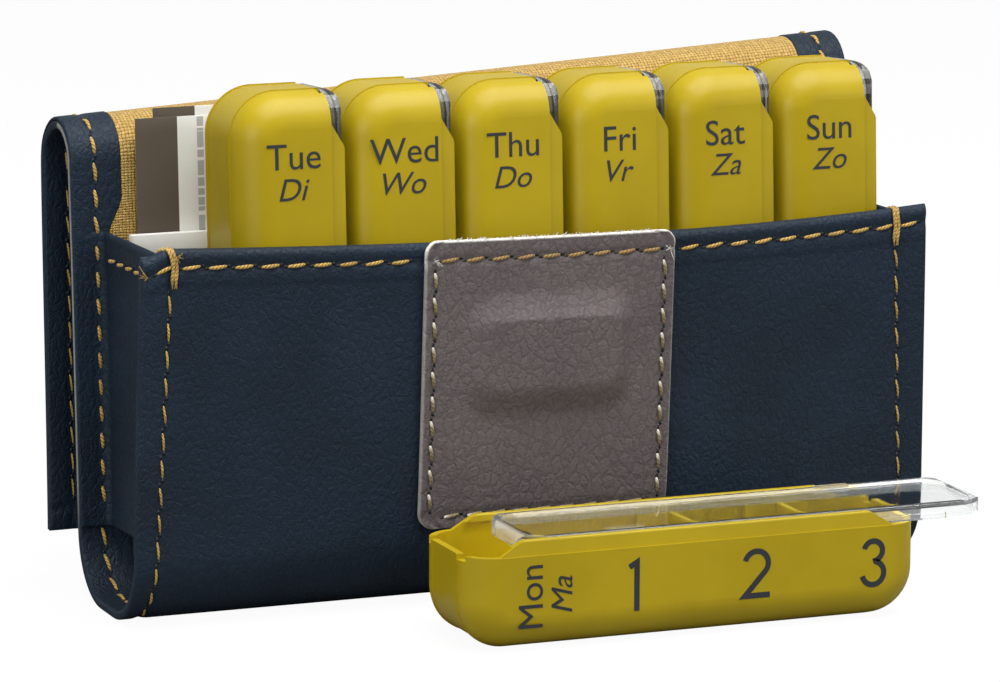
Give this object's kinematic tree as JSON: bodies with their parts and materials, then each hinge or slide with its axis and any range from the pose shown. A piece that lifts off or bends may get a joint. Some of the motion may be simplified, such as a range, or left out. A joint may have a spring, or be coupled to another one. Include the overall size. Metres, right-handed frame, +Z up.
{
  "type": "weekly pill organizer",
  "caption": "Leather wallet with a fold-over flap, holding pill trays with clear sliding lids and a few papers; one tray lies partly open in front.",
  "frame": {"origin": "on the resting surface, under the middle of the wallet's width, inside its flat base strip", "axes": "+X along the wallet to the right, +Y from the front to the back, +Z up"},
  "size_m": [0.145, 0.0833, 0.0885],
  "materials": {
    "navy_leather": "dark navy pebbled imitation leather, semi-matt",
    "taupe_leather": "taupe-grey pebbled imitation leather, semi-matt",
    "gold_lining": "coarse woven mustard-gold lining",
    "tray_plastic": "moulded mustard-yellow plastic, satin",
    "clear_lid": "clear moulded plastic",
    "paper": "matt white paper",
    "steel": "plain steel"
  },
  "bodies": {
    "wallet": {"outer_cover": "navy_leather", "back_lining": "gold_lining", "back_bindings": "navy_leather", "gusset_left": "navy_leather", "gusset_right": "navy_leather", "closure_tab": "taupe_leather", "tab_magnet": "steel"},
    "leaflet": {"leaflet": "paper"},
    "front_card": {"front_card": "paper"},
    "rear_card": {"rear_card": "paper"},
    "fold": {"fold_cover": "navy_leather", "fold_lining": "gold_lining", "fold_bindings": "navy_leather"},
    "flap_over": {"flap_over_cover": "navy_leather", "flap_over_lining": "gold_lining", "flap_over_bindings": "navy_leather"},
    "flap_front": {"flap_front_cover": "navy_leather", "flap_front_lining": "gold_lining", "flap_front_binding": "navy_leather", "flap_keeper_plate": "steel"},
    "tray_mon": {"tray_mon": "tray_plastic"},
    "lid_mon": {"lid_mon": "clear_lid"},
    "tray_tue": {"tray_tue": "tray_plastic"},
    "lid_tue": {"lid_tue": "clear_lid"},
    "tray_wed": {"tray_wed": "tray_plastic"},
    "lid_wed": {"lid_wed": "clear_lid"},
    "tray_thu": {"tray_thu": "tray_plastic"},
    "lid_thu": {"lid_thu": "clear_lid"},
    "tray_fri": {"tray_fri": "tray_plastic"},
    "lid_fri": {"lid_fri": "clear_lid"},
    "tray_sat": {"tray_sat": "tray_plastic"},
    "lid_sat": {"lid_sat": "clear_lid"},
    "tray_sun": {"tray_sun": "tray_plastic"},
    "lid_sun": {"lid_sun": "clear_lid"}
  },
  "joints": [
    {"name": "flap_fold", "type": "hinge", "parent": "wallet", "child": "fold", "pos_m": [0, 0.0206, 0.08752], "axis": [-1, 0, 0], "range_deg": [-160, 0]},
    {"name": "flap_turn", "type": "hinge", "parent": "fold", "child": "flap_over", "pos_m": [0, 0.03361, 0.08752], "axis": [-1, 0, 0], "range_deg": [-110, 0]},
    {"name": "flap_bend", "type": "hinge", "parent": "flap_over", "child": "flap_front", "pos_m": [0, 0.03361, 0.06019], "axis": [-1, 0, 0], "range_deg": [-90, 0]},
    {"name": "leaflet_slide", "type": "slide", "parent": "wallet", "child": "leaflet", "axis": [0, 0.0523, 0.9986], "range_m": [0, 0.06]},
    {"name": "front_card_slide", "type": "slide", "parent": "wallet", "child": "front_card", "axis": [0, 0.0523, 0.9986], "range_m": [0, 0.06]},
    {"name": "rear_card_slide", "type": "slide", "parent": "wallet", "child": "rear_card", "axis": [0, 0.0523, 0.9986], "range_m": [0, 0.06]},
    {"name": "tray_mon_lift", "type": "slide", "parent": "wallet", "child": "tray_mon", "axis": [0, 0, 1], "range_m": [0, 0.085]},
    {"name": "lid_mon_slide", "type": "slide", "parent": "tray_mon", "child": "lid_mon", "axis": [1, 0, 0], "range_m": [-0.0105, 0.05]},
    {"name": "tray_tue_lift", "type": "slide", "parent": "wallet", "child": "tray_tue", "axis": [0, 0.0523, 0.9986], "range_m": [0, 0.085]},
    {"name": "lid_tue_slide", "type": "slide", "parent": "tray_tue", "child": "lid_tue", "axis": [0, 0.0523, 0.9986], "range_m": [0, 0.06]},
    {"name": "tray_wed_lift", "type": "slide", "parent": "wallet", "child": "tray_wed", "axis": [0, 0.0523, 0.9986], "range_m": [0, 0.085]},
    {"name": "lid_wed_slide", "type": "slide", "parent": "tray_wed", "child": "lid_wed", "axis": [0, 0.0523, 0.9986], "range_m": [0, 0.06]},
    {"name": "tray_thu_lift", "type": "slide", "parent": "wallet", "child": "tray_thu", "axis": [0, 0.0523, 0.9986], "range_m": [0, 0.085]},
    {"name": "lid_thu_slide", "type": "slide", "parent": "tray_thu", "child": "lid_thu", "axis": [0, 0.0523, 0.9986], "range_m": [0, 0.06]},
    {"name": "tray_fri_lift", "type": "slide", "parent": "wallet", "child": "tray_fri", "axis": [0, 0.0523, 0.9986], "range_m": [0, 0.085]},
    {"name": "lid_fri_slide", "type": "slide", "parent": "tray_fri", "child": "lid_fri", "axis": [0, 0.0523, 0.9986], "range_m": [0, 0.06]},
    {"name": "tray_sat_lift", "type": "slide", "parent": "wallet", "child": "tray_sat", "axis": [0, 0.0523, 0.9986], "range_m": [0, 0.085]},
    {"name": "lid_sat_slide", "type": "slide", "parent": "tray_sat", "child": "lid_sat", "axis": [0, 0.0523, 0.9986], "range_m": [0, 0.06]},
    {"name": "tray_sun_lift", "type": "slide", "parent": "wallet", "child": "tray_sun", "axis": [0, 0.0523, 0.9986], "range_m": [0, 0.085]},
    {"name": "lid_sun_slide", "type": "slide", "parent": "tray_sun", "child": "lid_sun", "axis": [0, 0.0523, 0.9986], "range_m": [0, 0.06]}
  ],
  "couplings": [
    {"joint": "flap_turn", "follows": "flap_fold", "ratio": 0.6875},
    {"joint": "flap_bend", "follows": "flap_fold", "ratio": 0.5625}
  ]
}
